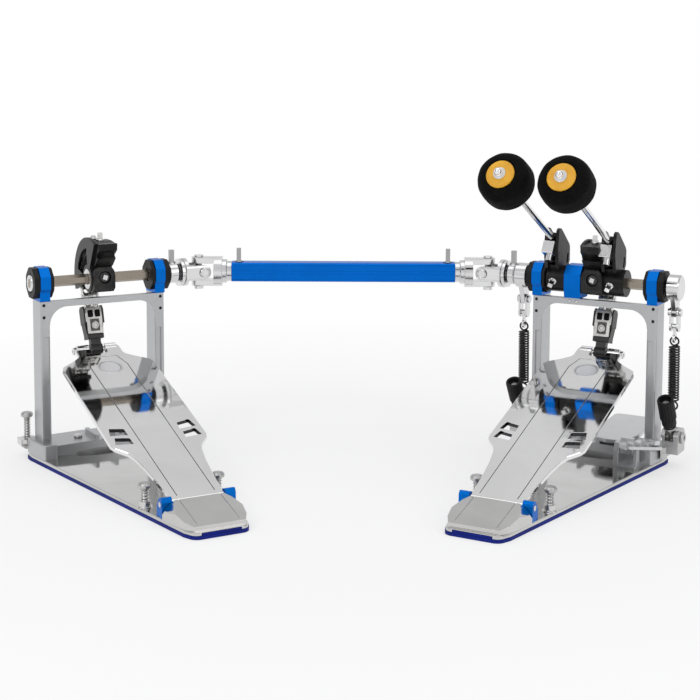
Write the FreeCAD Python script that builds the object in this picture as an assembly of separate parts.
import FreeCAD, Part
import os
from math import asin, atan2, cos, degrees, pi, radians, sin, sqrt
from FreeCAD import Vector as V

# Double bass drum pedal: a main and a slave pedal joined by a drive shaft with two
# universal joints. Millimetres and degrees.
# Shaft frame: X along the drive shaft (main pedal at +X), Z up from the floor.
# Pedal frame: X along the axle, Y from the heel towards the toe, Z up, origin on the
# floor below the middle of the axle. "Near" means the heel side (-Y), "far" the +Y side.
# Each pedal is turned by YAW so that its axle end meets a joint of the shaft.
# The finished set is centred in X and Y and stands on z = 0.

os.makedirs("parts", exist_ok=True)

# ---------------------------------------------------------------- driving dimensions
AXLE_Z = 180.0                  # axle centre above the floor
POST_X = 60.5                   # half spacing of the two posts
POST_W = 9.8                    # post width along the axle
POST_NEAR_Y, POST_FAR_Y = -10.5, 14.5
POST_TOP = 162.0                # seat of the bearing blocks
BRIDGE_FAR_Y = -4.0             # far face of the bridge bar
BLOCK_W = 10.4                  # bearing block width
CENTRE_BLOCK = (-30.6, -13.2)   # x span of the extra bearing block, main pedal only
AXLE_AF = 9.5                   # hexagon axle, across flats
JOURNAL_R = 5.5                 # round journals in the bearings
CLEARANCE = 0.05                # running clearance on radius
SOLE_T, PLATE_T = 3.0, 3.0      # rubber sole, steel plate
PLATE_TOP = SOLE_T + PLATE_T
BED_TOP = 17.8                  # top of the bed between the post feet
HINGE_Y, HINGE_Z = -249.0, 18.0   # heel hinge
TOE_Y, TOE_Z = 14.0, 104.0      # toe pin at rest
PIN_R = 2.5                     # hinge pin and toe pin
BOARD_TOP, BOARD_T = 3.5, 4.0   # footboard top above the hinge-toe line, thickness
CHAIN_R = 36.0                  # pitch radius of the cam
PITCH = 12.7                    # chain pitch
CHAIN_PIN_R = 1.8
LINK_R = 4.9                    # end radius of the chain plates
YAW = 29.0                      # angle of each pedal to the drive shaft
JOINT_X = 151.7                 # half distance of the universal joint centres
SLAVE_J = 109.0                 # joint centre from the slave pedal middle
MAIN_J = 120.7                  # joint centre from the main pedal middle
TUBE_X = 116.7                  # half length of the square tube
TUBE_S = 20.0                   # tube size across flats
BEAT_X = (-43.4, 16.8)          # left and right beater planes
BEAT_OFF = 29.8                 # beater rod line from the axle
BEAT_TILT = 61.2                # rod angle from vertical at rest
ROD_R = 3.2                     # beater rod
ROD_START = -4.0                # lower end of the rod along its line
HEAD_R, HEAD_L = 25.6, 32.0     # beater head
HEAD_U = 173.0                  # head centre along the rod line
SPRING_X = 80.0                 # spring planes
ROCKER_PIN = (2.0, AXLE_Z - 25.0)   # rocker pin (y, z)
ROCKER_PIN_R = 2.4
TIE_FOOT = (3.0, 26.5)          # foot of the tie rod (y, z)
TIE_TILT = 30.0                 # tie rod angle from vertical
LOWER_EYE = (4.0, 58.0)         # lower spring eye (y, z)
LINK_LEN = 26.0                 # rocker pin to upper spring eye
TRUNNION_R = 3.5                # universal joint trunnions
KEY_BOLT_R = 2.6                # usual key bolt
PEG_X, PEG_Y = 24.0, 3.0        # pegs on the bed
POST_SCREW_Z = (158.2, 146.0)
LEVER_DX = -6.0                 # sideways shift of the clamp lever and its bracket
LEVER_PIN = (-42.0, 24.0)       # clamp lever pin (y, z)
LEVER_PIN_R = 2.6
SPUR_R = 3.6                    # hole for a spur
HEEL_SPURS = [(-35.5, -213, 4.8, 28.5), (35.5, -213, 4.8, 28.5)]   # x, y, bottom, top
SIDE_SPUR = (-69.5, 27.0, 9.5, 44)      # slave pedal only, same columns

# Base plate outline (x, y)
OUTLINE = [
    (-73.5, 17), (-73.5, 1), (-30, -288.5), (-25, -301.5),
    (25, -301.5), (30, -288.5), (73.5, 1), (73.5, 17)]

# Turn about Z and move (x, y) from each pedal frame to the shaft frame
PEDAL_PLACES = {
    "main": (-YAW, JOINT_X + MAIN_J * cos(radians(YAW)), -MAIN_J * sin(radians(YAW))),
    "slave": (YAW, -JOINT_X - SLAVE_J * cos(radians(YAW)), -SLAVE_J * sin(radians(YAW)))}

NODES = {}      # file name: shapes in the shaft frame


# ---------------------------------------------------------------- solids
def box(x0, x1, y0, y1, z0, z1):
    return Part.makeBox(x1 - x0, y1 - y0, z1 - z0, V(x0, y0, z0))


def cyl(start, direction, radius, length):
    return Part.makeCylinder(radius, length, V(*start), V(*direction))


def cyl_x(x0, x1, y, z, radius):
    return Part.makeCylinder(radius, x1 - x0, V(x0, y, z), V(1, 0, 0))


def cyl_z(radius, length, z, x=0, y=0):
    return cyl((x, y, z), (0, 0, 1), radius, length)


def axle_cyl(x0, x1, radius):
    """Cylinder on the axle line."""
    return cyl_x(x0, x1, 0, AXLE_Z, radius)


def face(points):
    return Part.Face(Part.makePolygon([V(*p) for p in points] + [V(*points[0])]))


def prism_x(points, x0, x1):
    """(y, z) points extruded from x0 to x1."""
    return face([(x0, y, z) for y, z in points]).extrude(V(x1 - x0, 0, 0))


def prism_y(points, y0, y1):
    """(x, z) points extruded from y0 to y1."""
    return face([(x, y0, z) for x, z in points]).extrude(V(0, y1 - y0, 0))


def prism_z(points, z0, z1):
    """(x, y) points extruded from z0 to z1."""
    return face([(x, y, z0) for x, y in points]).extrude(V(0, 0, z1 - z0))


def axle_prism(points, x0, x1):
    """Like prism_x, with z measured from the axle."""
    return prism_x([(y, AXLE_Z + z) for y, z in points], x0, x1)


def turn_to(shape, start, direction):
    """Turn a shape built along +X to direction and move its origin to start."""
    rotation = FreeCAD.Rotation(V(1, 0, 0), V(*direction))
    shape.Placement = FreeCAD.Placement(V(*start), rotation)
    return shape


def revolve(points, start, direction):
    """(axial, radius) points revolved about direction through start."""
    flat = face([(a, r, 0) for a, r in points])
    return turn_to(flat.revolve(V(0, 0, 0), V(1, 0, 0), 360), start, direction)


def revolve_axle(points, x0):
    """(axial from x0, radius) points revolved about the axle."""
    flat = face([(x0 + a, r, AXLE_Z) for a, r in points])
    return flat.revolve(V(x0, 0, AXLE_Z), V(1, 0, 0), 360)


def ngon(count, flats, start=0.0):
    """Corners of a regular polygon of even count, first corner at angle start (radians)."""
    radius = flats / 2 / cos(pi / count)
    angles = [start + 2 * pi * i / count for i in range(count)]
    return [(radius * cos(a), radius * sin(a)) for a in angles]


def span(side, near, far, centre=0.0):
    """Ordered x span between two distances from centre, towards side (-1 or 1)."""
    return sorted((centre + side * near, centre + side * far))


def centred(centre, width):
    return centre - width / 2, centre + width / 2


def mirrored(side, points):
    return [(side * x, y) for x, y in points]


def along_line(origin, direction, distance):
    return (origin[0] + direction[0] * distance, origin[1] + direction[1] * distance)


def fuse(*shapes):
    return shapes[0].multiFuse(list(shapes[1:])).removeSplitter()


def cut(shape, *tools):
    for tool in tools:
        shape = shape.cut(tool)
    return shape


def dress(shape, method, size, pick):
    edges = [edge for edge in shape.Edges if pick(edge)]
    if not edges:
        return shape
    # Guards against edges that cannot take this size: the shape then stays plain.
    try:
        dressed = getattr(shape, method)(size, edges)
        return dressed if dressed.isValid() and dressed.Volume > 0 else shape
    except Exception:
        return shape


def fillet(shape, size, pick):
    return dress(shape, "makeFillet", size, pick)


def chamfer(shape, size, pick):
    return dress(shape, "makeChamfer", size, pick)


def along(axis):
    """Edge picker: straight edges parallel to axis."""
    index = "xyz".index(axis)

    def pick(edge):
        if len(edge.Vertexes) != 2 or not isinstance(edge.Curve, Part.Line):
            return False
        step = edge.Vertexes[1].Point.sub(edge.Vertexes[0].Point)
        return all(abs(step[j]) < 1e-3 for j in range(3) if j != index)
    return pick


along_x = along("x")


def at_z(z):
    """Edge picker: edges with all ends at height z."""
    return lambda edge: all(abs(v.Point.z - z) < 1e-3 for v in edge.Vertexes)


def is_circle(edge):
    return isinstance(edge.Curve, Part.Circle)


def key_bolt(start, direction, height, radius=KEY_BOLT_R):
    """Square-headed key bolt standing height above start."""
    flange_h = 2.0
    flange = revolve([
        (0, 0), (0, radius + 1.6), (1.2, radius + 1.6), (flange_h, radius + 0.6),
        (flange_h, 0)], start, direction)
    square = turn_to(prism_x(ngon(4, radius * 1.75, pi / 4), 0, height - flange_h),
                     V(*start) + V(*direction) * flange_h, direction)
    return flange.fuse(square).removeSplitter()


def pan_head(start, direction, radius, height):
    """Pan head with a square socket, standing on start."""
    head = revolve([(0, 0), (0, radius), (height * 0.55, radius), (height, radius * 0.72),
                    (height, 0)], start, direction)
    socket = turn_to(prism_x(ngon(4, radius * 0.7, 0.3), 0, height),
                     V(*start) + V(*direction) * (height * 0.45), direction)
    return head.cut(socket)


def bar(start, end, x0, x1, radius, waist=0.62):
    """Flat link between two (y, z) centres: round ends, middle narrowed to waist."""
    dy, dz = end[0] - start[0], end[1] - start[1]
    length = sqrt(dy * dy + dz * dz)
    side_y = -dz / length * radius * waist
    side_z = dy / length * radius * waist
    middle = prism_x([
        (start[0] + side_y, start[1] + side_z), (end[0] + side_y, end[1] + side_z),
        (end[0] - side_y, end[1] - side_z), (start[0] - side_y, start[1] - side_z)], x0, x1)
    return fuse(middle, cyl_x(x0, x1, *start, radius), cyl_x(x0, x1, *end, radius))


# ---------------------------------------------------------------- frames
def tilted(shape, angle, x, y, z):
    """Copy turned about X, then moved."""
    shape = shape.copy()
    shape.rotate(V(0, 0, 0), V(1, 0, 0), angle)
    shape.translate(V(x, y, z))
    return shape


def place(shape, frame):
    """Copy moved from a pedal frame, or from "shaft", to the shaft frame."""
    shape = shape.copy()
    if frame in PEDAL_PLACES:
        turn, x, y = PEDAL_PLACES[frame]
        shape.rotate(V(0, 0, 0), V(0, 0, 1), turn)
        shape.translate(V(x, y, 0))
    return shape


def add(name, frame, *shapes):
    NODES.setdefault(name, []).extend(place(shape, frame) for shape in shapes)


# Board frame: x across, y from the hinge to the toe pin, z square to the board line
BOARD_LEN = sqrt((TOE_Y - HINGE_Y) ** 2 + (TOE_Z - HINGE_Z) ** 2)
BOARD_TILT = degrees(atan2(TOE_Z - HINGE_Z, TOE_Y - HINGE_Y))

# The free chain runs from the toe pin to its tangent point on the cam, leaning to +Y
TOE_TO_AXLE = sqrt(TOE_Y ** 2 + (AXLE_Z - TOE_Z) ** 2)
RUN_LEAN = degrees(asin(CHAIN_R / TOE_TO_AXLE)) - degrees(atan2(TOE_Y, AXLE_Z - TOE_Z))
RUN_LEN = sqrt(TOE_TO_AXLE ** 2 - CHAIN_R ** 2)
RUN_DIR = (sin(radians(RUN_LEAN)), cos(radians(RUN_LEAN)))
LINK_ANGLE = 2 * degrees(asin(PITCH / 2 / CHAIN_R))

# Spring and tie rod directions (y, z)
TIE_DIR = (-sin(radians(TIE_TILT)), cos(radians(TIE_TILT)))
SWING_LEN = sqrt((LOWER_EYE[0] - ROCKER_PIN[0]) ** 2 + (LOWER_EYE[1] - ROCKER_PIN[1]) ** 2)
SWING_DIR = ((LOWER_EYE[0] - ROCKER_PIN[0]) / SWING_LEN,
             (LOWER_EYE[1] - ROCKER_PIN[1]) / SWING_LEN)


def to_board(shape):
    return tilted(shape, BOARD_TILT, 0, HINGE_Y, HINGE_Z)


def to_run(shape):
    """From the run frame: x across, z up the chain line, origin at the toe pin."""
    return tilted(shape, -RUN_LEAN, 0, TOE_Y, TOE_Z)


def to_rod(shape, x):
    """From the rod frame: y away from the axle, z up the rod, origin nearest the axle."""
    angle = radians(BEAT_TILT)
    return tilted(shape, BEAT_TILT, x, cos(angle) * BEAT_OFF, AXLE_Z + sin(angle) * BEAT_OFF)


def on_cam(index):
    """(y, z) of a chain pin on the cam; index 0 is the tangent point, rising from there."""
    angle = radians(-RUN_LEAN + index * LINK_ANGLE)
    return (CHAIN_R * cos(angle), AXLE_Z + CHAIN_R * sin(angle))


def on_run(distance):
    return along_line((TOE_Y, TOE_Z), RUN_DIR, distance)


def on_tie(distance):
    return along_line(TIE_FOOT, TIE_DIR, distance)


def on_swing(distance):
    """Point below the rocker pin, towards the lower spring eye."""
    return along_line(ROCKER_PIN, SWING_DIR, distance)


# ---------------------------------------------------------------- base
HEEL_Y0, HEEL_Y1 = -298.0, HINGE_Y - 4.4    # heel plate, outer end and hinge end
HEEL_Z0, HEEL_Z1 = 10.0, 21.7               # its top at these ends


def rubber_sole(pedal):
    """Sole a little larger than the plate, with a raised lip at the heel end."""
    outline = [(x * 1.012, y + (-1 if y < 0 else 1)) for x, y in OUTLINE]
    sole = fillet(prism_z(outline, 0, SOLE_T), 9, along("z"))
    lip = prism_z([(-18.4, -302.0), (18.4, -302.0), (16.8, -297), (-16.8, -297)],
                  SOLE_T, SOLE_T + 2.2)
    sole = sole.fuse(lip).removeSplitter()
    grooves = [box(-60 + 12 * i, -57 + 12 * i, -60, 20, -0.1, 0.8) for i in range(11)]
    add(pedal + "_rubber_sole", pedal, cut(sole, *grooves))


def heel_plate():
    """Sloping hollow tread with rolled sides and two slits."""
    def slope(y0, y1, z0, z1, floor, x0, x1):
        return prism_x([(y1, floor), (y1, z1), (y0, z0), (y0, floor)], x0, x1)

    heel = slope(HEEL_Y0, HEEL_Y1, HEEL_Z0, HEEL_Z1, PLATE_TOP - 0.5, -35.8, 35.8)
    plan = [     # x, y
        (-35.2, HEEL_Y1), (-31.4, -275), (-28.8, -289), (-24.0, HEEL_Y0),
        (24.0, HEEL_Y0), (28.8, -289), (31.4, -275), (35.2, HEEL_Y1)]
    section = [     # x, z
        (-35.8, 4), (-35.8, 8.5), (-33.5, 14.0), (-27.5, 19.6), (-21.5, 22.5),
        (21.5, 22.5), (27.5, 19.6), (33.5, 14.0), (35.8, 8.5), (35.8, 4)]
    heel = heel.common(prism_z(plan, 0, 40))
    heel = heel.common(prism_y(section, HEEL_Y0 - 2, HEEL_Y1 + 2))

    def top_edge(edge):
        ends = [v.Point for v in edge.Vertexes]
        at_hinge = all(abs(p.y - HEEL_Y1) < 1e-3 for p in ends)
        return min(p.z for p in ends) > HEEL_Z0 - 0.1 and not at_hinge

    heel = chamfer(heel, 1.4, top_edge)
    hollow = slope(HEEL_Y0 + 10, HEEL_Y1 - 7, HEEL_Z0 - 2.0, HEEL_Z1 - 4.0, PLATE_TOP - 1,
                   -27, 27)
    hollow = hollow.common(prism_z([(-27, HEEL_Y1 + 1), (-22, HEEL_Y0 + 3),
                                    (22, HEEL_Y0 + 3), (27, HEEL_Y1 + 1)], 0, 40))
    heel = heel.cut(hollow)
    for x in (-19.6, 19.6):
        heel = heel.cut(prism_x([
            (HEEL_Y1 + 1, HEEL_Z1 - 0.5), (HEEL_Y0 + 4, HEEL_Z0 + 0.9 - 0.5),
            (HEEL_Y0 + 4, 40), (HEEL_Y1 + 1, 40)], x - 0.45, x + 0.45))
    return heel


def base_plate(pedal):
    plate = fillet(prism_z(OUTLINE, SOLE_T, PLATE_TOP), 8, along("z"))
    plate = chamfer(plate, 0.8, at_z(PLATE_TOP))
    # room for the lip of the sole
    plate = cut(plate, prism_z([(-19.4, -304), (19.4, -304), (17.2, -296.7),
                                (-17.2, -296.7)], 2.9, 5.4))
    add(pedal + "_base_plate", pedal, plate.fuse(heel_plate()))


def hinge_blocks(pedal):
    profile = [     # y, z
        (HINGE_Y - 7, PLATE_TOP), (HINGE_Y + 8.5, PLATE_TOP), (HINGE_Y + 7.5, 16),
        (HINGE_Y + 3, 23.2), (HINGE_Y - 1.5, 24.2), (HINGE_Y - 3.4, 22)]
    for side in (-1, 1):
        x0, x1 = span(side, 25.4, 35.2)
        # the block stops short of the heel plate
        block = cut(prism_x(profile, x0, x1),
                    box(x0 - 1, x1 + 1, HINGE_Y - 20, HINGE_Y - 3.9, 0, 40),
                    cyl_x(x0 - 1, x1 + 1, HINGE_Y, HINGE_Z, PIN_R))
        add(pedal + "_hinge_blocks", pedal, fillet(block, 0.8, along_x))


# ---------------------------------------------------------------- posts and bearings
def bridge():
    """Bar between the posts, its opening rounded at the upper corners."""
    radius = 18.0
    inner_x = POST_X - POST_W / 2
    top = POST_TOP - 6.2
    bridge_bar = box(-POST_X, POST_X, POST_NEAR_Y, BRIDGE_FAR_Y, 138, POST_TOP)
    opening = fuse(
        box(-inner_x + radius, inner_x - radius, -12, -2, 130, top),
        box(-inner_x, inner_x, -12, -2, 130, top - radius),
        cyl((-inner_x + radius, -12, top - radius), (0, 1, 0), radius, 10),
        cyl((inner_x - radius, -12, top - radius), (0, 1, 0), radius, 10))
    return cut(bridge_bar, opening)


def frame(pedal):
    foot_top = 21.0
    foot_plan = [(69, -28), (73, 1), (73, 16), (55, 16), (55, -28)]
    bed_section = [     # x, z
        (-56, PLATE_TOP), (-56, 15.5), (-50, 17), (-14, BED_TOP), (14, BED_TOP), (50, 17),
        (56, 15.5), (56, PLATE_TOP), (36, PLATE_TOP), (30, 8.2), (12, 9.6), (-12, 9.6),
        (-30, 8.2), (-36, PLATE_TOP)]
    parts = []
    for side in (-1, 1):
        post = box(*centred(side * POST_X, POST_W), POST_NEAR_Y, POST_FAR_Y,
                   PLATE_TOP, POST_TOP)
        post = fillet(post, 1.2, along("z"))
        # long recess in the near face
        post = cut(post, box(*span(side, POST_X - 4.2, POST_X + 1.6),
                             POST_NEAR_Y - 1, POST_NEAR_Y + 1.6, 22.5, 126))
        foot = prism_z(mirrored(side, foot_plan), PLATE_TOP, foot_top)
        foot = fillet(foot, 2.0, along("z"))
        foot = fillet(foot, 1.5, at_z(foot_top))
        parts += [post, foot]
    bed = fillet(prism_y(bed_section, -17.5, 28), 0.8, along("y"))
    ribs = [box(*span(side, 8.5, 12), -17.5, 16, 12, 23) for side in (-1, 1)]
    body = fuse(*parts, bed, *ribs, bridge())
    if pedal == "main":
        # pedestal under the centre bearing block
        body = fuse(body, box(CENTRE_BLOCK[0] + 1.5, CENTRE_BLOCK[1] - 1.5,
                              POST_NEAR_Y, BRIDGE_FAR_Y, 158.0, 162.6))
    holes = []
    for side in (-1, 1):
        for z in POST_SCREW_Z:
            holes.append(cyl((side * (POST_X + 1.0), POST_NEAR_Y - 1, z), (0, 1, 0), 1.6, 6))
        holes.append(cyl_z(2.6, 20, 8, side * PEG_X, PEG_Y))
    add(pedal + "_frame", pedal, cut(body, *holes))


def bearing_block(points, x0, x1):
    block = fillet(axle_prism(points, x0, x1), 1.0, along_x)
    return cut(block, axle_cyl(x0 - 1, x1 + 1, JOURNAL_R + CLEARANCE))


def bearing_blocks(pedal):
    post_profile = [     # y, z from the axle
        (-12, -18), (14, -18), (14, -9), (15.2, -5), (15.2, 7), (8, 15.6), (-8, 15.6),
        (-15.2, 7), (-15.2, -5), (-12, -9)]
    centre_profile = [
        (-8, -17.4), (6, -17.4), (12, -12), (15.2, -5), (15.2, 7), (8, 15.6), (-8, 15.6),
        (-15.2, 7), (-15.2, -7.5), (-13.5, -17.4)]
    blocks = [bearing_block(post_profile, *centred(side * POST_X, BLOCK_W))
              for side in (-1, 1)]
    if pedal == "main":
        blocks.append(bearing_block(centre_profile, *CENTRE_BLOCK))
    add(pedal + "_bearing_blocks", pedal, *blocks)


def bearing_flanges(pedal):
    """Rounded eight-sided flanges on both faces of each post bearing."""
    def flange(corner_r, x0, x1):
        ring = axle_prism(ngon(8, 2 * corner_r * cos(pi / 8), pi / 8), x0, x1)
        ring = fillet(ring, 4.0, along_x)
        return fillet(ring, 0.8, lambda edge: not along_x(edge))

    for side in (-1, 1):
        outer_face, inner_face = POST_X + BLOCK_W / 2, POST_X - BLOCK_W / 2
        end = outer_face + 6.0
        x0, x1 = span(side, outer_face, end)
        outer = cut(flange(16.5, x0, x1), axle_cyl(*span(side, end - 1.2, end + 1), 9.6),
                    axle_cyl(x0 - 1, x1 + 1, 6.6))
        x0, x1 = span(side, inner_face - 3.6, inner_face)
        inner = cut(flange(16.3, x0, x1), axle_cyl(x0 - 1, x1 + 1, 6.6))
        add(pedal + "_bearing_flanges", pedal, outer, inner)


def frame_screws(pedal):
    """Post screws, pegs on the bed and the heel hinge pin."""
    peg = [(0, 0), (0, 2.5), (6.5, 2.5), (6.5, 4.4), (8.2, 4.4), (9.2, 3.2), (9.2, 0)]
    screws = []
    for side in (-1, 1):
        for z in POST_SCREW_Z:
            screws.append(pan_head((side * (POST_X + 1.0), POST_NEAR_Y + 3.0, z),
                                   (0, -1, 0), 1.6, 1.6))
        screws.append(revolve(peg, (side * PEG_X, PEG_Y, 11.5), (0, 0, 1)))
    screws.append(cyl_x(-35.8, 35.8, HINGE_Y, HINGE_Z, PIN_R))
    if pedal == "main":
        middle = sum(CENTRE_BLOCK) / 2
        for dx in (-3.6, 3.6):
            screws.append(pan_head((middle + dx, POST_NEAR_Y, 159.0), (0, -1, 0), 1.7, 1.1))
    add(pedal + "_frame_screws", pedal, *screws)


# ---------------------------------------------------------------- footboard (board frame)
def footboard(pedal):
    toe = BOARD_LEN
    top, under = BOARD_TOP, BOARD_TOP - BOARD_T
    disc_y = toe - 43.4
    disc_r, disc_seat = 12.5, top - 0.9
    right_edge = [     # x, y from the hinge to the toe fork
        (25.0, 0.0), (27.0, 27), (29.8, 52), (33.4, 71), (36.6, 79), (45.5, 89),
        (47.8, 95), (48.0, toe - 40.4), (46.0, toe - 34.4), (33.0, toe - 25.4),
        (25.5, toe - 18.9), (24.0, toe - 15.4), (24.0, toe - 2), (20.5, toe + 4.8),
        (9.4, toe + 4.8), (8.6, toe - 8.5), (7.0, toe - 13.0)]
    left_edge = [(-x, y) for x, y in reversed(right_edge)]
    board = chamfer(prism_z(right_edge + left_edge, under, top), 0.7, at_z(top))

    rib = [(2, under + .5), (2, -3.2), (60, -6.5), (192, -6.5), (toe - 21.4, under + .5)]
    ear_web = [(toe - 22, under + .3), (toe - 6, -4.6), (toe + 2, -5.0), (toe + 4.8, 0),
               (toe + 4.8, top), (toe - 22, top)]
    for side in (-1, 1):
        board = board.fuse(prism_x(rib, *span(side, 21.2, 23.6)))
        x0, x1 = span(side, 8.6, 20.5)
        ear = fuse(cyl_x(x0, x1, toe, 0, 5.6), prism_x(ear_web, x0, x1))
        board = board.fuse(ear)
    hinge_barrel = cyl_x(-25.0, 25.0, 0, 0, 3.6)
    board = board.fuse(hinge_barrel).removeSplitter()

    # shallow grooves that outline the tread
    groove_floor = top - 0.7
    grooves = (
        [(17.6, 4.5), (18.4, 4.5), (20.0, toe - 40.4), (19.2, toe - 40.4)],
        [(19.2, toe - 40.4), (20.0, toe - 40.4), (14.3, toe - 21.0), (13.5, toe - 21.0)])
    for side in (-1, 1):
        for groove in grooves:
            board = board.cut(prism_z(mirrored(side, groove), groove_floor, top + 2))
    board = board.cut(box(-14.3, 14.3, toe - 21.7, toe - 21.0, groove_floor, top + 2))
    # slots through the wide part
    for side in (-1, 1):
        for y0, y1 in ((92.5, 103.0), (108.0, 119.5)):
            slot = [(25.5, y0), (43.0, y0 + 2.0), (40.0, y1 + 3.0), (26.5, y1)]
            board = board.cut(prism_z(mirrored(side, slot), under - 1, top + 1))
    board = board.cut(cyl_z(disc_r, 3, disc_seat, 0, disc_y))
    board = cut(board, cyl_x(-30, 30, 0, 0, PIN_R + CLEARANCE),
                cyl_x(-30, 30, toe, 0, PIN_R))
    # keep the lug of the swivel free
    board = cut(board, cyl_x(-8.5, 8.5, toe, 0, 7.4))

    head_side = -1 if pedal == "slave" else 1
    pin = fuse(cyl_x(-20.5, 20.5, toe, 0, PIN_R),
               cyl_x(*span(head_side, 20.5, 24.5), toe, 0, 4.0))
    socket = [(toe + y, z) for y, z in ngon(4, 3.4, 0.4)]
    pin = cut(pin, prism_x(socket, *span(head_side, 22.8, 26)))
    disc = revolve([(0, 0), (0, disc_r), (0.7, disc_r), (1.1, 12.0), (1.1, 10.6),
                    (0.8, 10.2), (0.8, 0)], (0, disc_y, disc_seat), (0, 0, 1))
    add(pedal + "_footboard", pedal, to_board(board), to_board(pin), to_board(disc))


# ---------------------------------------------------------------- swivel (run frame)
def swivel(pedal):
    """Block between toe pin and chain, with a steel face plate on its near side."""
    cheek = [(-6.0, 26.5), (7.5, 26.5), (8.0, 42), (5.0, 45.0), (-3.0, 45.0), (-6.0, 41)]
    block = fuse(
        cyl_x(-6, 6, 0, 0, 6.2),
        prism_x([(-4.2, 2), (4.2, 2), (3.4, 12), (-3.4, 12)], -5.2, 5.2),
        prism_x([(-5.2, 11.0), (7.5, 11.0), (7.5, 16), (-5.2, 16)], -8.6, 8.6),
        prism_y([(-8.6, 15.5), (8.6, 15.5), (10.0, 27), (-10.0, 27)], -3.6, 7.5),
        prism_x([(-3.6, 26.5), (7.5, 26.5), (7.5, 29.0), (-3.6, 29.0)], -9.4, 9.4),
        *[prism_x(cheek, *span(side, 8.9, 10.6)) for side in (-1, 1)])
    block = cut(block, cyl_x(-7, 7, 0, 0, PIN_R + CLEARANCE))
    block = fillet(block, 0.6, lambda edge: along_x(edge) and edge.Length > 12)

    plate = box(-8.3, 8.3, -6.4, -5.6, 16, 43.0)
    windows = [box(*span(side, 0.9, 6.6), -8, -4, 33.0, 40.5) for side in (-1, 1)]
    plate = fillet(cut(plate, *windows), 1.2, along("y"))
    plate = fuse(plate, box(-7.5, 7.5, -5.7, -3.6, 16.5, 26))
    plate = cut(plate, box(-4.8, 4.8, -6.6, -6.1, 18.6, 31.0))
    screw = revolve([(0, 0), (0, 4.2), (1.0, 4.2), (1.6, 3.4), (1.6, 2.2), (1.0, 2.0),
                     (1.0, 0)], (0, -6.1, 24.5), (0, -1, 0))
    window_backing = box(-7.6, 7.6, -5.6, -5.1, 31.5, 42.0)
    add(pedal + "_swivel", pedal,
        *[to_run(part) for part in (block, plate, screw, window_backing)])


# ---------------------------------------------------------------- chain
def outer_link(start, end):
    plates = [bar(start, end, x0, x1, LINK_R)
              for x0, x1 in ((-8.0, -7.0), (-0.9, 0.9), (7.0, 8.0))]
    pins = [cyl_x(-8.5, 8.5, *centre, CHAIN_PIN_R) for centre in (start, end)]
    return fuse(*plates, *pins)


def inner_link(start, end):
    """Two halves side by side, each a pair of plates with rollers between."""
    halves = []
    for side in (-1, 1):
        plates = [bar(start, end, *span(side, near, far), LINK_R)
                  for near, far in ((1.2, 2.1), (5.9, 6.8))]
        rollers = [cyl_x(*span(side, 2.1, 5.9), *centre, 3.7) for centre in (start, end)]
        bores = [cyl_x(-10, 10, *centre, CHAIN_PIN_R + CLEARANCE)
                 for centre in (start, end)]
        halves.append(cut(fuse(*plates, *rollers), *bores))
    return halves


def chain(pedal):
    wrap = [on_cam(i) for i in range(5)]
    add(pedal + "_cam_fittings", pedal, outer_link(wrap[4], wrap[3]))
    add(pedal + "_chain_link_3", pedal, *inner_link(wrap[3], wrap[2]))
    add(pedal + "_chain_link_2", pedal, outer_link(wrap[2], wrap[1]))
    add(pedal + "_chain_link_1", pedal, *inner_link(wrap[1], wrap[0]))
    # hanging part: an outer link, then an inner link with tongues down to the swivel
    low = RUN_LEN - 2 * PITCH
    middle_pin, low_pin = on_run(RUN_LEN - PITCH), on_run(low)
    hanging = [outer_link(wrap[0], middle_pin)]
    for side, half in zip((-1, 1), inner_link(middle_pin, low_pin)):
        tongue = to_run(box(*span(side, 2.6, 5.4), -1.4, 1.4, 36.0, low - 3.9))
        neck = to_run(box(*span(side, 3.0, 5.0), -1.0, 1.0, low - 4.4, low - 3.3))
        hanging.append(fuse(half, tongue, neck))
    hanging.append(cyl_x(-7.0, 7.0, *low_pin, CHAIN_PIN_R))
    add(pedal + "_chain_run", pedal, *hanging)


# ---------------------------------------------------------------- cam
CAM_SCREW_Z = AXLE_Z + 3


def sector(inner_r, outer_r, angle0, angle1, x0, x1):
    """Ring sector about the axle, angles in degrees from +Y towards +Z."""
    ring = axle_cyl(x0, x1, outer_r).cut(axle_cyl(x0 - 1, x1 + 1, inner_r))
    reach, steps = outer_r * 3, 6
    angles = [radians(angle0 + (angle1 - angle0) * i / steps) for i in range(steps + 1)]
    wedge = [(0, 0)] + [(reach * cos(a), reach * sin(a)) for a in angles]
    return ring.common(axle_prism(wedge, x0 - 0.5, x1 + 0.5))


def hex_bar(x0, x1):
    return axle_prism(ngon(6, AXLE_AF, pi / 6), x0, x1)


def chain_room():
    """Space for the chain over the cam bed."""
    return sector(30.3, 60, -40, 81.0, -8.9, 8.9)


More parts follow.
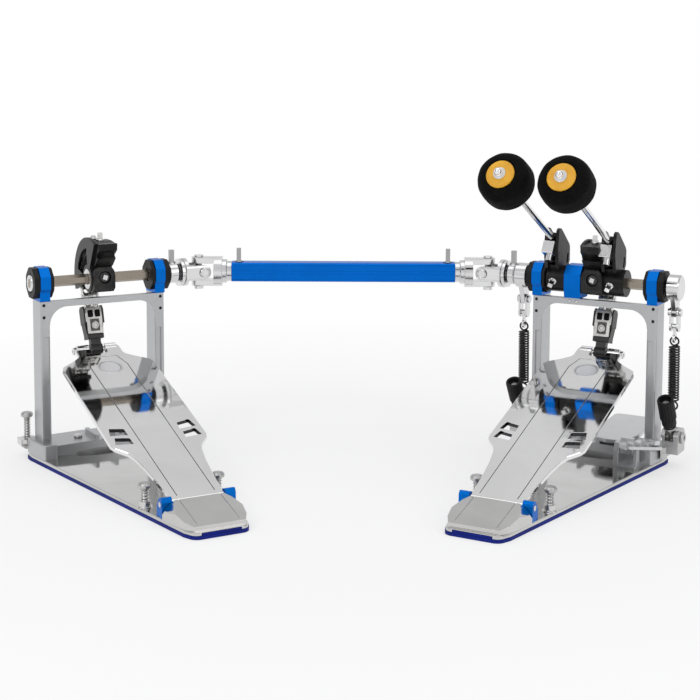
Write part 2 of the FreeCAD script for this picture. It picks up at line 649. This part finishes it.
def cam_body(hub_end=None):
    """Chain cam; hub_end, if given, is the x where a longer hub ends."""
    x0, x1 = -11.6, 10.6
    bed = sector(25.5, 29.8, -30, 108, -9.4, 9.4)
    left_cheek = cut(sector(11, 42.0, -22, 118, -12.4, -9.2),
                     sector(14.5, 31.0, 12, 84, -13, -9.0))
    right_cheek = sector(11, 38, 2, 112, 9.2, 11.2)
    hub = axle_cyl(-12.4, x1, 13.0)
    # near part of the hub, rounded in side view and arched in end view
    near = axle_prism([(-17.5, -8), (-17.5, 13), (-13, 16.5), (0, 16.5), (0, -12.5),
                       (-12, -12.5)], x0, x1)
    near = fillet(near, 3.0, lambda edge: along_x(edge) and edge.Vertexes[0].Point.y < -5)
    arch_section = [     # x, z from the axle
        (x0, -13), (x1, -13), (x1, 5), (9.6, 9.5), (7.0, 13.2), (2.5, 16.5), (-3.5, 16.5),
        (-8.0, 13.2), (-10.6, 9.5), (x0, 5)]
    arch = prism_y([(x, AXLE_Z + z) for x, z in arch_section], -18, -8)
    near = fuse(near.common(arch),
                near.common(box(-20, 20, -8.0, 5, AXLE_Z - 20, AXLE_Z + 20)))
    crest = axle_prism([     # y, z from the axle
        (-13, 14), (-22, 22.5), (-18.5, 25.5), (-26.5, 31.5), (-27.0, 38.0), (-19, 38.0),
        (-9.5, 39.2), (4, 39.2), (8, 37.0), (8, 28), (4, 20), (0, 12)], -9.4, 9.6)
    parts = [bed, left_cheek, right_cheek, hub, near, crest]
    if hub_end is not None:
        parts.append(axle_cyl(7.4, hub_end, 13.6))
    cam = cut(fuse(*parts), chain_room(), hex_bar(-60, 60))
    # recess for the clamp screw
    return cut(cam, cyl((0, -19, CAM_SCREW_Z), (0, 1, 0), 6.2, 4.5))


def cam_fittings():
    """Clamp screw, left washer, key bolt and cone on the crest."""
    seat, near = (0, -14.5, CAM_SCREW_Z), (0, -1, 0)
    crest_z = AXLE_Z + 39.2
    stud = turn_to(prism_x(ngon(4, 4.6, 0.45), 0, 3.6), seat, near)
    collar = revolve([(0, 0), (0, 5.6), (0.9, 5.6), (1.6, 4.9), (1.6, 0)], seat, near)
    return [
        fuse(collar, stud),
        axle_cyl(-13.1, -12.4, 10.2).cut(axle_cyl(-20, 0, JOURNAL_R + CLEARANCE)),
        key_bolt((-1.2, -6.5, crest_z), (0, 0, 1), 8.0, 2.3),
        revolve([(0, 0), (0, 3.8), (1.4, 3.8), (4.4, 1.9), (4.4, 0)],
                (-4.9, 3.1, crest_z), (0, 0, 1))]


# ---------------------------------------------------------------- beaters
def rod_hole(x):
    return to_rod(cyl_z(ROD_R + CLEARANCE, 90, -20), x)


def holder(x):
    """Two fins with a seat and a back for the beater rod."""
    outline = [     # y, z from the axle
        (-9, 9), (-15.5, 12), (-17.5, 20), (-19.5, 31.5), (-16.0, 51), (-12.0, 53),
        (-8.5, 51.5), (13.0, 34.5), (15.0, 31), (15.0, 17), (9, 9), (0, 4)]
    window = [(5.0, 14.5), (9.5, 15.5), (11.0, 25), (7.5, 25.5)]
    fins = []
    for side in (-1, 1):
        x0, x1 = span(side, 4.3, 7.6, x)
        fin = fillet(axle_prism(outline, x0, x1), 1.6,
                     lambda edge: along_x(edge) and edge.Vertexes[0].Point.z > AXLE_Z + 28)
        fins.append(cut(fin, axle_prism(window, x0 - 1, x1 + 1)))
    seat = to_rod(box(-4.6, 4.6, -11.5, -3.9, -2, 24), x)
    back = to_rod(box(-4.6, 4.6, 4.1, 8.0, 2, 30), x)
    root = axle_prism([(-9, 9), (-13, 15), (10, 15), (9, 9), (0, 4)], x - 5, x + 5)
    return fuse(*fins, seat, back, root)


def holder_fittings(x):
    """Rod clamp block with its stub, and the key bolt on the hub."""
    block = cut(to_rod(box(-7.7, 4.2, -17.0, -3.9, 26.5, 37.5), x), rod_hole(x))
    block = fillet(block, 0.8, lambda edge: edge.Length > 6)
    stub = to_rod(cyl((0, -17.0, 32), (0, -1, 0), 3.4, 7.0), x)
    bolt = key_bolt((x, -12.4, AXLE_Z - 1.5), (0, -0.9, -0.436), 8.5, 2.7)
    return [block.fuse(stub).removeSplitter(), bolt]


def beater(name, x):
    top = HEAD_U + HEAD_L / 2
    washer_z = top + 1.8
    dome_z = top + 6.4
    disc_z = top - 0.4
    rod = cyl_z(ROD_R, top + 4.0 - ROD_START, ROD_START)
    rod = chamfer(rod, 0.6, at_z(ROD_START))
    # the rod above the head ends in a washer and an acorn nut
    rod = cut(rod, box(-9, 9, -9, 9, washer_z, top + 40))
    dome = Part.makeSphere(3.8, V(0, 0, dome_z)).cut(box(-9, 9, -9, 9, top - 9, dome_z))
    rod = fuse(rod, cyl_z(6.0, 1.2, washer_z), prism_z(ngon(6, 8.0), top + 3.0, top + 6.6),
               dome)
    head = fillet(cyl_z(HEAD_R, HEAD_L, HEAD_U - HEAD_L / 2), 9.5, is_circle)
    head = cut(head, cyl_z(ROD_R, 80, HEAD_U - 40), cyl_z(14.0, 3, disc_z))
    disc = revolve([(0, ROD_R), (0, 13.8), (1.2, 13.8), (2.2, 12.8), (2.2, ROD_R)],
                   (0, 0, disc_z), (0, 0, 1))
    for part, shape in (("rod", rod), ("head", head), ("disc", disc)):
        add(name + "_beater_" + part, "main", to_rod(shape, x))


# ---------------------------------------------------------------- spring sets
def swing_link(name, x):
    """Two plates on the rocker pin, joined by a bar with a stem and an eye."""
    joint = on_swing(14.0)
    eye = on_swing(LINK_LEN)
    plates = [bar(ROCKER_PIN, joint, *span(side, 2.7, 4.5, x), 5.2, 0.9)
              for side in (-1, 1)]
    link = fuse(*plates, cyl((x - 4.5, *joint), (1, 0, 0), 2.6, 9.0))
    stem = fuse(bar(joint, on_swing(LINK_LEN - 3), x - 1.1, x + 1.1, 2.3, 1.0),
                cyl_x(x - 1.1, x + 1.1, *eye, 4.6))
    link = cut(fuse(link, stem), cyl_x(x - 9, x + 9, *eye, 2.4),
               cyl_x(x - 9, x + 9, *ROCKER_PIN, ROCKER_PIN_R + CLEARANCE))
    add(name + "_swing_link", "main", link)


def spring(name, x):
    """Close-wound spring as a waved tube, with an end plug and an eye at each end."""
    inner_r, outer_r, wave, coil_pitch = 3.6, 5.9, 0.55, 1.9
    top, bottom = on_swing(LINK_LEN + 7.0), on_swing(SWING_LEN - 7.0)
    length = sqrt((top[0] - bottom[0]) ** 2 + (top[1] - bottom[1]) ** 2)
    coils = int(length / coil_pitch)
    profile = [(0, inner_r), (0, outer_r - wave)]
    for i in range(coils):
        profile += [(i * coil_pitch + coil_pitch * 0.5, outer_r),
                    ((i + 1) * coil_pitch, outer_r - wave)]
    profile.append((coils * coil_pitch, inner_r))
    body = revolve(profile, (x, *top), (0, *SWING_DIR))

    def eye(centre):
        ring = Part.makeTorus(4.2, 0.85, V(0, 0, 0), V(0, -SWING_DIR[1], SWING_DIR[0]))
        ring.translate(V(x, *centre))
        return ring

    up = (0, -SWING_DIR[0], -SWING_DIR[1])
    add(name + "_spring", "main", fuse(
        body, eye(on_swing(LINK_LEN + 3.0)), eye(on_swing(SWING_LEN - 3.0)),
        cyl((x, *top), up, 5.0, 1.4),
        cyl((x, *on_swing(SWING_LEN - 10.0)), (0, *SWING_DIR), 5.0, 4.4)))


def tension_nut(name, x):
    """Knurled sleeve over the tie rod."""
    profile = [     # axial, radius
        (0, 3.05), (0, 6.6), (1.0, 7.2), (7.0, 7.2), (7.6, 6.9), (8.4, 6.9), (9.0, 8.2),
        (31, 8.2), (32.2, 7.6), (32.2, 5.6), (28.5, 5.2), (28.5, 3.05)]
    foot = on_tie(21.0)
    knurls, knurl_ring = 16, 8.6
    flutes = []
    for i in range(knurls):
        angle = 2 * pi * i / knurls
        flute = cyl_z(0.9, 24, 9.5, knurl_ring * cos(angle), knurl_ring * sin(angle))
        flutes.append(tilted(flute, TIE_TILT, x, *foot))
    nut = revolve(profile, (x, *foot), (0, *TIE_DIR))
    add(name + "_tension_nut", "main", nut.cut(Part.makeCompound(flutes)))


def spring_anchor(side):
    """Block beside the base with its pin, tie rod and the hook plate for the spring."""
    x = side * SPRING_X
    arm = prism_z(mirrored(side, [(70.5, -14), (70.5, 16), (89.5, 14), (89.5, -9),
                                  (78, -9)]), 14.5, 20.5)
    block = prism_x([(-8.5, 15.5), (14, 15.5), (14, 34), (10.5, 38), (-5, 38), (-8.5, 33)],
                    *span(side, 72.0, 89.5))
    block = fillet(block, 1.2, along_x)
    # slot for the tie rod
    block = cut(block, prism_x([(-12, 27), (8.5, 27), (8.5, 42), (-12, 42)],
                               x - 4.2, x + 4.2))
    foot = prism_z(mirrored(side, [(70.5, -13), (70.5, 16), (75.0, 14), (75.0, -11)]),
                   8, 16.6)
    # keep clear of the frame feet
    anchor = cut(fuse(arm, block, foot), box(-73, 73, -30, 40, -5, 30))

    pin_y, pin_z = TIE_FOOT[0], TIE_FOOT[1] + 3.0
    pin = cyl_x(*span(side, 71.8, 91.6), pin_y, pin_z, 3.4)
    head = chamfer(cyl_x(*span(side, 89.5, 92.4), pin_y, pin_z, 6.0), 0.8, is_circle)
    socket = prism_x([(pin_y + y, pin_z + z) for y, z in ngon(6, 5.0)],
                     *span(side, 91.0, 93.0))
    anchor = cut(fuse(anchor, pin, head), socket)
    anchor = fuse(anchor, cyl((x, *on_tie(2.0)), (0, *TIE_DIR), 3.0, 47.0))

    disc = cyl((x, *on_tie(16.5)), (0, *TIE_DIR), 6.4, 1.6)
    x0, x1 = x - 1.2, x + 1.2
    bend = (LOWER_EYE[0] + 1.0, 46.0)
    eye_y, eye_z = on_swing(SWING_LEN + 1.0)
    hook = fuse(bar(on_tie(17.3), bend, x0, x1, 2.0, 1.0),
                bar(bend, (eye_y, eye_z - 3.0), x0, x1, 2.0, 1.0),
                cyl_x(x0, x1, eye_y, eye_z, 4.2))
    hook = cut(hook, cyl_x(x - 2, x + 2, eye_y, eye_z, 2.3))
    return fuse(anchor, disc, hook)


def rocker(side, hub_end):
    """Cast rocker on the axle end with the pin for the swing link."""
    x = side * SPRING_X
    hub = chamfer(axle_cyl(*span(side, 73.4, hub_end), 12.8), 1.2,
                  lambda edge: is_circle(edge) and edge.Curve.Radius > 12)
    shoulder_z = AXLE_Z - 3.5
    tip = [     # y, z from the rocker pin
        (-5.0, 2.0), (-5.2, 0), (-3.6, -3.8), (0, -5.2), (3.6, -3.8), (5.2, 0), (5.0, 2.0)]
    outline = [(ROCKER_PIN[0] + y, ROCKER_PIN[1] + z) for y, z in tip]
    outline = [(-12.0, shoulder_z)] + outline + [(12.0, shoulder_z)]
    arm = prism_x(outline, x - 2.3, x + 2.3)
    return fuse(hub, arm, cyl_x(x - 5.4, x + 5.4, *ROCKER_PIN, ROCKER_PIN_R),
                cyl_x(x - 6.6, x - 4.9, *ROCKER_PIN, 3.8),
                cyl_x(x + 4.9, x + 6.6, *ROCKER_PIN, 3.8))


def spring_set(name, side, hub_end, bore):
    add(name + "_rocker", "main", cut(rocker(side, hub_end), axle_cyl(*bore, JOURNAL_R)))
    x = side * SPRING_X
    swing_link(name, x)
    spring(name, x)
    tension_nut(name, x)


# ---------------------------------------------------------------- universal joints
# Each is built about its joint centre; toward is the X direction (-1 or 1) of the web.
def yoke_fork(toward, web_start, web_end):
    """Fork with arms at +-Y."""
    x0, x1 = span(toward, 0, web_end)
    arms = []
    for side in (-1, 1):
        y0, y1 = span(side, 8.7, 15.0)
        arms.append(fuse(box(x0, x1, y0, y1, -7.6, 7.6),
                         cyl((0, y0, 0), (0, 1, 0), 7.6, y1 - y0)))
    web = cyl_x(*span(toward, web_start, web_end), 0, 0, 14.6)
    return fuse(*arms, web).common(cyl_x(-40, 40, 0, 0, 16.0))


def hub_yoke(toward, x):
    """Fork on the pedal side, moved to x on the axle."""
    yoke = yoke_fork(toward, 15.8, 19.6)
    yoke = cut(yoke, cyl((0, -20, 0), (0, 1, 0), 4.3, 40))
    yoke.translate(V(x, 0, AXLE_Z))
    return yoke


def tube_yoke(toward):
    """Fork on the tube side, arms at +-Z, moved to its end of the drive shaft."""
    yoke = yoke_fork(toward, 16.5, 25.0)
    yoke.rotate(V(0, 0, 0), V(1, 0, 0), 90)
    collar = chamfer(cyl_x(*span(toward, 24.5, 30.0), 0, 0, 12.4), 0.7, is_circle)
    yoke = fuse(yoke, collar, cyl_x(*span(toward, 29.5, 34.9), 0, 0, 10.6))
    yoke = cut(yoke, cyl_z(TRUNNION_R + CLEARANCE, 40, -20))
    yoke.translate(V(-toward * JOINT_X, 0, AXLE_Z))
    return yoke


def cross(yaw):
    """Spider: one trunnion along Z, the other along the pedal's Y."""
    cap = [(0, 0), (0, 5.2), (0.9, 5.2), (1.4, 4.6), (1.4, 3.9), (0.9, 3.7), (0.9, 0)]
    core = fillet(box(-6.0, 6.0, -6.0, 6.0, -6.0, 6.0), 1.2, lambda edge: True)
    core.rotate(V(0, 0, 0), V(0, 0, 1), yaw)
    level = fuse(cyl((0, -16.0, 0), (0, 1, 0), TRUNNION_R, 32.0),
                 revolve(cap, (0, -15.8, 0), (0, -1, 0)),
                 revolve(cap, (0, 15.8, 0), (0, 1, 0)))
    level.rotate(V(0, 0, 0), V(0, 0, 1), yaw)
    return fuse(core, cyl_z(TRUNNION_R, 33.2, -16.6), level,
                cyl_z(5.0, 1.6, 15.3), cyl_z(5.0, 3.0, -18.3))


# ---------------------------------------------------------------- slave axle line
def slave_axle_line():
    left_end = -72.6
    axle = fuse(hex_bar(-53.0, 52.6), axle_cyl(left_end, -52.6, JOURNAL_R),
                axle_cyl(52.2, 90.0, JOURNAL_R))
    axle = chamfer(axle, 0.8, lambda edge: (
        is_circle(edge) and abs(edge.Vertexes[0].Point.x - left_end) < 1e-3))
    add("slave_axle", "slave", axle)
    add("slave_cam", "slave", cam_body())
    add("slave_cam_fittings", "slave", *cam_fittings())

    bolt_x, bolt_z = 78.2, AXLE_Z + 10.2
    hub = revolve_axle([     # axial, radius
        (0, JOURNAL_R), (0, 9.6), (1.0, 10.6), (9.2, 10.6), (9.2, 8.8), (12.2, 8.8),
        (12.2, 14.2), (15.4, 14.2), (16.2, 13.2), (16.2, JOURNAL_R)], 73.2)
    ring = axle_cyl(88.0, 91.0, 11.8).cut(axle_cyl(80, 95, JOURNAL_R))
    hub = fuse(hub, hub_yoke(-1, SLAVE_J), ring)
    hub = cut(hub, axle_cyl(70, 90.0, JOURNAL_R))
    hub = hub.fuse(cyl_z(4.4, 1.8, AXLE_Z + 9.0, bolt_x))
    hub = cut(hub, cyl_z(5.2, 3, bolt_z, bolt_x))
    add("slave_hub_yoke", "slave", hub, key_bolt((bolt_x, 0, bolt_z), (0, 0, 1), 14.0))


# ---------------------------------------------------------------- main axle line
def main_right_axle():
    """Axle with the cam, the right beater and the right spring set."""
    x = BEAT_X[1]
    journal_end = 84.0
    add("main_axle", "main", fuse(
        hex_bar(-12.6, 52.6), axle_cyl(-21.6, -12.6, JOURNAL_R),
        axle_cyl(52.2, journal_end, JOURNAL_R)))
    fittings = holder_fittings(x)
    cam = fuse(cam_body(hub_end=31.0), holder(x))
    cam = cut(cam, chain_room(), hex_bar(-60, 60), rod_hole(x), *fittings)
    add("main_cam", "main", cam)
    add("main_cam_fittings", "main", *cam_fittings(), *fittings)
    beater("right", x)
    spring_set("right", 1, 86.5, (70, journal_end))


def main_left_axle():
    """Shaft turned by the drive shaft, with the left beater and the left spring set."""
    x = BEAT_X[0]
    shaft_end = -96.0
    fittings = holder_fittings(x)
    sleeve = fuse(axle_cyl(-50.5, -31.0, 13.6), axle_cyl(-51.6, -50.4, 8.0),
                  axle_cyl(-31.2, -30.8, 8.0))
    sleeve = fuse(sleeve, holder(x))
    sleeve = cut(sleeve, axle_cyl(-60, -20, JOURNAL_R), rod_hole(x), *fittings)
    add("left_beater_hub", "main", sleeve)
    add("left_hub_shaft", "main", axle_cyl(shaft_end, -22.2, JOURNAL_R), *fittings)

    bolt_x, bolt_z = -91.4, AXLE_Z + 10.2
    hub = revolve_axle([     # axial, radius
        (0, JOURNAL_R), (0, 12.8), (0.8, 13.8), (4.0, 13.8), (4.0, 8.8), (6.4, 8.8),
        (6.4, 10.4), (12.4, 10.4), (13.2, 9.6), (13.2, JOURNAL_R)], -101.2)
    hub = fuse(hub, hub_yoke(1, -MAIN_J), axle_cyl(-104.4, -100.4, 11.8))
    bore = axle_cyl(shaft_end, -80, JOURNAL_R)
    hub = cut(hub, bore).fuse(cyl_z(4.4, 1.8, AXLE_Z + 9.0, bolt_x))
    # the bolt seat reaches into the bore, so the bore is cut again
    hub = cut(hub, cyl_z(5.2, 3, bolt_z, bolt_x), bore)
    add("main_hub_yoke", "main", hub, key_bolt((bolt_x, 0, bolt_z), (0, 0, 1), 14.5))
    beater("left", x)
    spring_set("left", -1, 87.0, (-90, -70))


# ---------------------------------------------------------------- hoop clamp, main pedal
def clamp_tongue():
    plan = [     # x, y
        (2, -14), (10, -26), (22, -30), (34, -28), (44, -18), (47, 0), (47, 62), (43, 66),
        (4, 66), (0, 62), (0, -6)]
    tongue = fillet(prism_z(plan, 0, 3.6), 4.0, along("z"))
    tongue = chamfer(tongue, 0.8, at_z(3.6))
    tongue.rotate(V(0, 0, 0), V(1, 0, 0), 2.0)
    tongue.translate(V(0, 0, 24.4))
    # the pedestal stands on the bed, whose top slopes down outside x = 14
    pedestal = prism_y([(12.5, BED_TOP), (14, BED_TOP), (36, BED_TOP - 0.8 * 22 / 36),
                        (36, 26.0), (12.5, 26.0)], 10, 28)
    add("hoop_clamp", "main", fuse(tongue, pedestal))


def lever_bracket():
    wall = prism_x([(-52, 6), (-22, 6), (-16, 6), (-16, 12), (-30, 17), (-36, 27),
                    (-42, 31), (-48, 30), (-52, 22)], 44, 49)
    floor = prism_x([(-52, 6), (-16, 6), (-16, 9), (-52, 9)], 44, 66)
    outer_ear = prism_x([(-48, 6), (-36, 6), (-38.9, 24), (-45.1, 24)], 62.5, 66)
    bracket = fuse(wall, floor, outer_ear, cyl_x(62.5, 66, *LEVER_PIN, 3.1))
    bracket = cut(bracket, cyl_x(40, 70, *LEVER_PIN, LEVER_PIN_R))
    pin = cyl_x(42.5, 66, *LEVER_PIN, LEVER_PIN_R)
    for part in (bracket, pin):
        part.translate(V(LEVER_DX, 0, 0))
    # keep clear of the frame foot and the bed
    bracket = cut(bracket, box(54.9, 80, -28.05, 30, 5, 22), box(-56, 56, -17.55, 30, 5, 18))
    add("hoop_clamp", "main", bracket, pin)


def clamp_lever():
    """Hub on the pin and an arm with five rising steps."""
    hub = prism_x([(-46.0, 19), (-50, 30), (-44, 34.5), (-38, 34), (-36.5, 27), (-38, 19)],
                  49.4, 62.1)
    step_plan = [(50.5, -55), (58.6, -60), (61.5, -53), (53.5, -45)]
    steps = []
    for i in range(5):
        plan = [(x + 6.4 * i, y + 3.2 * i) for x, y in step_plan]
        steps.append(prism_z(plan, 27.0 + 1.1 * i, 31.5 + 1.1 * i))
    arm = prism_z([(49.6, -50), (62.0, -58), (90.5, -44), (84, -32), (62, -40),
                   (49.6, -41)], 27.2, 30.2)
    tail = prism_z([(49.6, -46), (62, -46), (60, -38), (50, -38)], 20, 29)
    lever = cut(fuse(hub, arm, *steps, tail),
                cyl_x(40, 70, *LEVER_PIN, LEVER_PIN_R + CLEARANCE),
                box(40, 49.4, -80, -10, 0, 60))
    lever.translate(V(LEVER_DX, 0, 0))
    add("clamp_lever", "main", lever)


# ---------------------------------------------------------------- spurs
def spur(x, y, bottom, top):
    """Ridged shank with a pointed tip and a round head."""
    ridge_r, root_r, ridge_pitch = 3.5, 2.5, 2.8
    length = top - bottom - 6.0
    profile = [(0, 0), (0, root_r)]
    for i in range(int(length / ridge_pitch)):
        profile += [((i + 0.5) * ridge_pitch, ridge_r), ((i + 1) * ridge_pitch, root_r)]
    profile += [(length, root_r), (length, 0)]
    up = (0, 0, 1)
    return fuse(
        revolve(profile, (x, y, bottom), up),
        revolve([(0, 0), (2.6, 2.2), (2.6, 0)], (x, y, bottom - 2.6), up),
        revolve([(0, 0), (0, 3.4), (1.4, 4.4), (2.2, 6.0), (4.6, 6.2), (6.2, 5.0),
                 (6.8, 3.0), (6.8, 0)], (x, y, top - 6.6), up))


def spur_seat(x, y):
    radius, height = 5.6, 6.0
    return revolve([
        (0, SPUR_R), (0, radius + 1.6), (1.2, radius + 1.2), (1.6, radius),
        (height, radius), (height, SPUR_R)], (x, y, PLATE_TOP), (0, 0, 1))


def side_spur_bracket(x, y):
    """Arm that carries the side spur, with a curved clip below it."""
    arm = prism_z([(x + 8, 16), (x + 8, y + 5), (x + 4, y + 8), (x - 4, y + 7),
                   (x - 8, y + 1), (x - 7.5, 17.2), (-73.5, 16)], 13.5, 17.5)
    clip = prism_y([(x - 8.6, 17.5), (x - 8.6, 11), (x - 4.5, 8.0), (x + 8, 7.0),
                    (x + 8, 9.0), (x - 3.5, 10.2), (x - 6.4, 12.5), (x - 6.4, 17.5)],
                   18.6, y + 6)
    bracket = fuse(arm, clip, box(-72.5, x + 8, 16, 19.5, 9.0, 15))
    return cut(bracket, cyl_z(SPUR_R, 40, 0, x, y))


def spurs(pedal):
    spots = list(HEEL_SPURS)
    seats = [spur_seat(x, y) for x, y, *_ in HEEL_SPURS]
    if pedal == "slave":
        spots.append(SIDE_SPUR)
        seats.append(side_spur_bracket(*SIDE_SPUR[:2]))
    # the heel spurs pass through the finished plate and sole
    holes = [place(cyl_z(SPUR_R, 20, -1, x, y), pedal) for x, y, *_ in HEEL_SPURS]
    for node in (pedal + "_base_plate", pedal + "_rubber_sole"):
        NODES[node] = [cut(shape, *holes) for shape in NODES[node]]
    add(pedal + "_frame_screws", pedal, *seats)
    add(pedal + "_spurs", pedal, *[spur(*spot) for spot in spots])


# ---------------------------------------------------------------- drive shaft
BORE_R = 7.0                # tube bore and the round bars in it
TUBE_BOLT_X = 109.5
TUBE_BOLT_Z = AXLE_Z + 9.4


def shaft_tube():
    half = TUBE_S / 2
    tube = prism_x([(-half, -half), (half, -half), (half, half), (-half, half)],
                   -TUBE_X, TUBE_X)
    tube = fillet(tube, 3.2, along_x)
    tube.translate(V(0, 0, AXLE_Z))
    tube = cut(tube, axle_cyl(-TUBE_X - 1, TUBE_X + 1, BORE_R))
    for side in (-1, 1):
        tube = cut(tube, box(-TUBE_X - 1, TUBE_X + 1, *span(side, half - 0.4, half + 0.2),
                             AXLE_Z - 1.6, AXLE_Z + 1.6))
    for side in (-1, 1):
        tube = cut(tube, cyl_z(5.4, 4, TUBE_BOLT_Z, side * TUBE_BOLT_X))
    add("shaft_tube", "shaft", tube)


def shaft_yokes():
    bolts = [key_bolt((side * TUBE_BOLT_X, 0, TUBE_BOLT_Z), (0, 0, 1), 15.0)
             for side in (-1, 1)]
    add("main_tube_yoke", "shaft",
        fuse(tube_yoke(-1), axle_cyl(60.0, TUBE_X + 1, BORE_R)), *bolts)
    add("slave_shaft_yoke", "shaft",
        fuse(tube_yoke(1), axle_cyl(-TUBE_X - 1, 20.0, BORE_R - CLEARANCE)))


def crosses():
    for pedal, side in (("main", 1), ("slave", -1)):
        spider = cross(-side * YAW)
        spider.translate(V(side * JOINT_X, 0, AXLE_Z))
        add(pedal + "_cross", "shaft", spider)


# ---------------------------------------------------------------- build and export
def export_all():
    """Centre the set, stand it on z = 0 and write one file for each node."""
    boxes = [shape.BoundBox for shapes in NODES.values() for shape in shapes]
    shift = V(-(min(b.XMin for b in boxes) + max(b.XMax for b in boxes)) / 2,
              -(min(b.YMin for b in boxes) + max(b.YMax for b in boxes)) / 2,
              -min(b.ZMin for b in boxes))
    for name, shapes in NODES.items():
        solids = [solid for shape in shapes for solid in shape.Solids]
        for solid in solids:
            solid.translate(shift)
        result = solids[0] if len(solids) == 1 else Part.makeCompound(solids)
        result.exportStep("parts/" + name + ".step")


for pedal_name in ("main", "slave"):
    for build in (rubber_sole, base_plate, hinge_blocks, footboard, swivel, chain,
                  frame, bearing_blocks, bearing_flanges, frame_screws, spurs):
        build(pedal_name)
slave_axle_line()
main_right_axle()
main_left_axle()
add("main_anchors", "main", spring_anchor(-1), spring_anchor(1))
clamp_tongue()
lever_bracket()
clamp_lever()
shaft_tube()
shaft_yokes()
crosses()
export_all()
